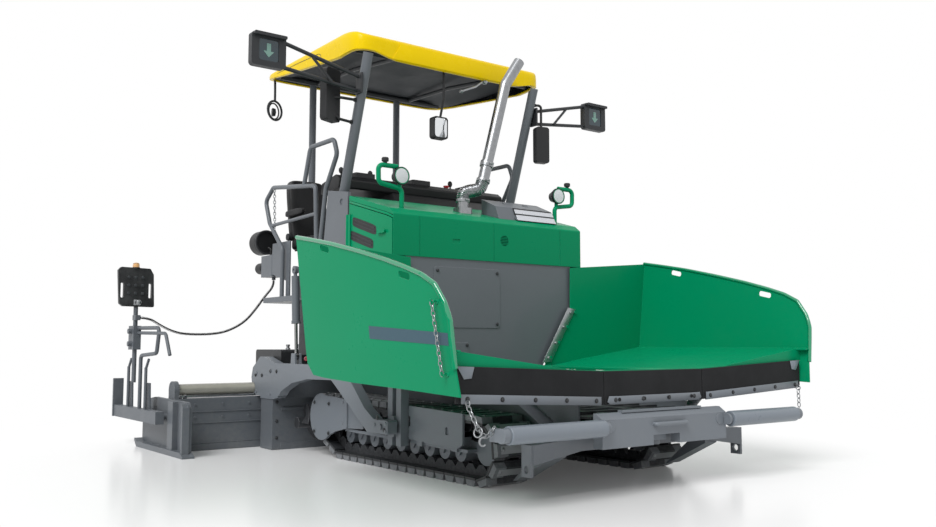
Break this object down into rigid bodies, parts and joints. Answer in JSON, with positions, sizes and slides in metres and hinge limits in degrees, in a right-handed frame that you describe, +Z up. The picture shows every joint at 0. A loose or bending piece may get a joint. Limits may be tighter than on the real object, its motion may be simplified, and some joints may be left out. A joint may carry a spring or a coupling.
{
  "type": "asphalt paver",
  "caption": "Tracked asphalt paver with folding material hopper, push rollers, roofed operator platform, augers and an extending screed on tow arms",
  "frame": {"origin": "on the ground, at the middle of the overall box", "axes": "+X forward towards the push rollers, +Y to the left of the machine, +Z up"},
  "size_m": [4.95, 4.1294, 3.4898],
  "materials": {
    "green_enamel": "gloss",
    "grey_enamel": "satin",
    "dark_enamel": "satin",
    "yellow_moulding": "gloss",
    "black_plastic": "matte",
    "rubber": "matte",
    "track_steel": "worn",
    "bright_steel": "polished",
    "cast_steel": "rough",
    "seat_vinyl": "satin"
  },
  "bodies": {
    "tractor": {"chassis_frame": "grey_enamel", "front_beam": "grey_enamel", "tow_columns": "grey_enamel", "auger_hanger": "dark_enamel", "track_frames": "dark_enamel", "track_left": "rubber", "track_right": "rubber", "conveyor": "track_steel", "hopper_floor": "green_enamel", "middle_flap": "rubber", "front_bulkhead": "grey_enamel", "engine_hood": "green_enamel", "engine_block": "cast_steel", "side_panels": "grey_enamel", "platform_deck": "grey_enamel", "rear_body": "dark_enamel", "operator_console": "black_plastic", "operator_seats": "seat_vinyl", "handrails": "grey_enamel", "exhaust_pipe": "bright_steel", "heat_shield": "grey_enamel", "headlamps": "green_enamel", "roof_canopy": "yellow_moulding", "roof_posts": "grey_enamel", "signal_panels": "black_plastic", "mirrors": "black_plastic", "control_box": "grey_enamel", "work_lamps": "black_plastic", "cord_upper": "rubber"},
    "push_bar": {"push_bar": "grey_enamel"},
    "screed": {"tow_arms": "grey_enamel", "screed_frame": "grey_enamel", "screed_walkway": "grey_enamel", "screed_boxes": "grey_enamel"},
    "hopper_wing_left": {"hopper_wing_left": "green_enamel", "wing_flap_left": "rubber"},
    "push_roller_left": {"push_roller_left": "grey_enamel"},
    "side_door_left": {"side_door_left": "green_enamel"},
    "extension_left": {"extension_left": "grey_enamel", "end_plate_left": "grey_enamel", "remote_panel_left": "black_plastic"},
    "auger_left": {"auger_left": "cast_steel"},
    "lift_barrel_left": {"lift_barrel_left": "grey_enamel"},
    "lift_rod_left": {"lift_rod_left": "bright_steel"},
    "wing_barrel_left": {"wing_barrel_left": "grey_enamel"},
    "wing_rod_left": {"wing_rod_left": "bright_steel"},
    "hopper_wing_right": {"hopper_wing_right": "green_enamel", "wing_flap_right": "rubber"},
    "push_roller_right": {"push_roller_right": "grey_enamel"},
    "side_door_right": {"side_door_right": "green_enamel"},
    "extension_right": {"extension_right": "grey_enamel", "end_plate_right": "grey_enamel", "remote_panel_right": "black_plastic", "cord_lower": "rubber"},
    "auger_right": {"auger_right": "cast_steel"},
    "lift_barrel_right": {"lift_barrel_right": "grey_enamel"},
    "lift_rod_right": {"lift_rod_right": "bright_steel"},
    "wing_barrel_right": {"wing_barrel_right": "grey_enamel"},
    "wing_rod_right": {"wing_rod_right": "bright_steel"}
  },
  "joints": [
    {"name": "push_bar_swivel", "type": "hinge", "parent": "tractor", "child": "push_bar", "pos_m": [2.29, 0, 0.354], "axis": [0, 0, 1], "range_deg": [-8, 8]},
    {"name": "screed_lift", "type": "hinge", "parent": "tractor", "child": "screed", "pos_m": [0.745, 0, 0.32], "axis": [0, 1, 0], "range_deg": [0, 9], "deforming": ["cord_upper"]},
    {"name": "hopper_wing_fold_left", "type": "hinge", "parent": "tractor", "child": "hopper_wing_left", "pos_m": [1.5, 0.5, 0.7], "axis": [1, 0, 0], "range_deg": [0, 53]},
    {"name": "push_roller_spin_left", "type": "hinge", "parent": "push_bar", "child": "push_roller_left", "pos_m": [2.425, 0.93, 0.407], "axis": [0, 1, 0], "continuous": true},
    {"name": "side_door_swing_left", "type": "hinge", "parent": "tractor", "child": "side_door_left", "pos_m": [0.056, 0.934, 1.5], "axis": [0, 0, 1], "range_deg": [0, 100]},
    {"name": "extension_slide_left", "type": "slide", "parent": "screed", "child": "extension_left", "axis": [0, 1, 0], "range_m": [-0.65, 0]},
    {"name": "auger_spin_left", "type": "hinge", "parent": "tractor", "child": "auger_left", "pos_m": [-0.765, 0.5, 0.24], "axis": [0, 1, 0], "continuous": true},
    {"name": "lift_barrel_swing_left", "type": "hinge", "parent": "tractor", "child": "lift_barrel_left", "pos_m": [-0.69, 0.997, 1.5], "axis": [0, 1, 0], "range_deg": [-11.71, 0]},
    {"name": "lift_rod_slide_left", "type": "slide", "parent": "lift_barrel_left", "child": "lift_rod_left", "axis": [0.0633, 0, -0.998], "range_m": [-0.19593, 0]},
    {"name": "wing_barrel_swing_left", "type": "hinge", "parent": "tractor", "child": "wing_barrel_left", "pos_m": [2, 0.56, 0.362], "axis": [1, 0, 0], "range_deg": [0, 36.85]},
    {"name": "wing_rod_slide_left", "type": "slide", "parent": "wing_barrel_left", "child": "wing_rod_left", "axis": [0, 0.8074, 0.59], "range_m": [0, 0.22213]},
    {"name": "hopper_wing_fold_right", "type": "hinge", "parent": "tractor", "child": "hopper_wing_right", "pos_m": [1.5, -0.5, 0.7], "axis": [-1, 0, 0], "range_deg": [0, 53]},
    {"name": "push_roller_spin_right", "type": "hinge", "parent": "push_bar", "child": "push_roller_right", "pos_m": [2.425, -0.93, 0.407], "axis": [0, 1, 0], "continuous": true},
    {"name": "side_door_swing_right", "type": "hinge", "parent": "tractor", "child": "side_door_right", "pos_m": [0.056, -0.934, 1.5], "axis": [0, 0, -1], "range_deg": [0, 100]},
    {"name": "extension_slide_right", "type": "slide", "parent": "screed", "child": "extension_right", "axis": [0, -1, 0], "range_m": [-0.65, 0], "deforming": ["cord_lower"]},
    {"name": "auger_spin_right", "type": "hinge", "parent": "tractor", "child": "auger_right", "pos_m": [-0.765, -0.5, 0.24], "axis": [0, 1, 0], "continuous": true},
    {"name": "lift_barrel_swing_right", "type": "hinge", "parent": "tractor", "child": "lift_barrel_right", "pos_m": [-0.69, -0.997, 1.5], "axis": [0, 1, 0], "range_deg": [-11.71, 0]},
    {"name": "lift_rod_slide_right", "type": "slide", "parent": "lift_barrel_right", "child": "lift_rod_right", "axis": [0.0633, 0, -0.998], "range_m": [-0.19593, 0]},
    {"name": "wing_barrel_swing_right", "type": "hinge", "parent": "tractor", "child": "wing_barrel_right", "pos_m": [2, -0.56, 0.362], "axis": [-1, 0, 0], "range_deg": [0, 36.85]},
    {"name": "wing_rod_slide_right", "type": "slide", "parent": "wing_barrel_right", "child": "wing_rod_right", "axis": [0, -0.8074, 0.59], "range_m": [0, 0.22213]}
  ],
  "couplings": [
    {"joint": "lift_barrel_swing_left", "follows": "screed_lift", "ratio": -1.2888},
    {"joint": "lift_rod_slide_left", "follows": "screed_lift", "m_per_rad": -1.2411},
    {"joint": "wing_barrel_swing_left", "follows": "hopper_wing_fold_left", "ratio": 0.69175},
    {"joint": "wing_rod_slide_left", "follows": "hopper_wing_fold_left", "m_per_rad": 0.23894},
    {"joint": "lift_barrel_swing_right", "follows": "screed_lift", "ratio": -1.2888},
    {"joint": "lift_rod_slide_right", "follows": "screed_lift", "m_per_rad": -1.2411},
    {"joint": "wing_barrel_swing_right", "follows": "hopper_wing_fold_right", "ratio": 0.69175},
    {"joint": "wing_rod_slide_right", "follows": "hopper_wing_fold_right", "m_per_rad": 0.23894}
  ]
}
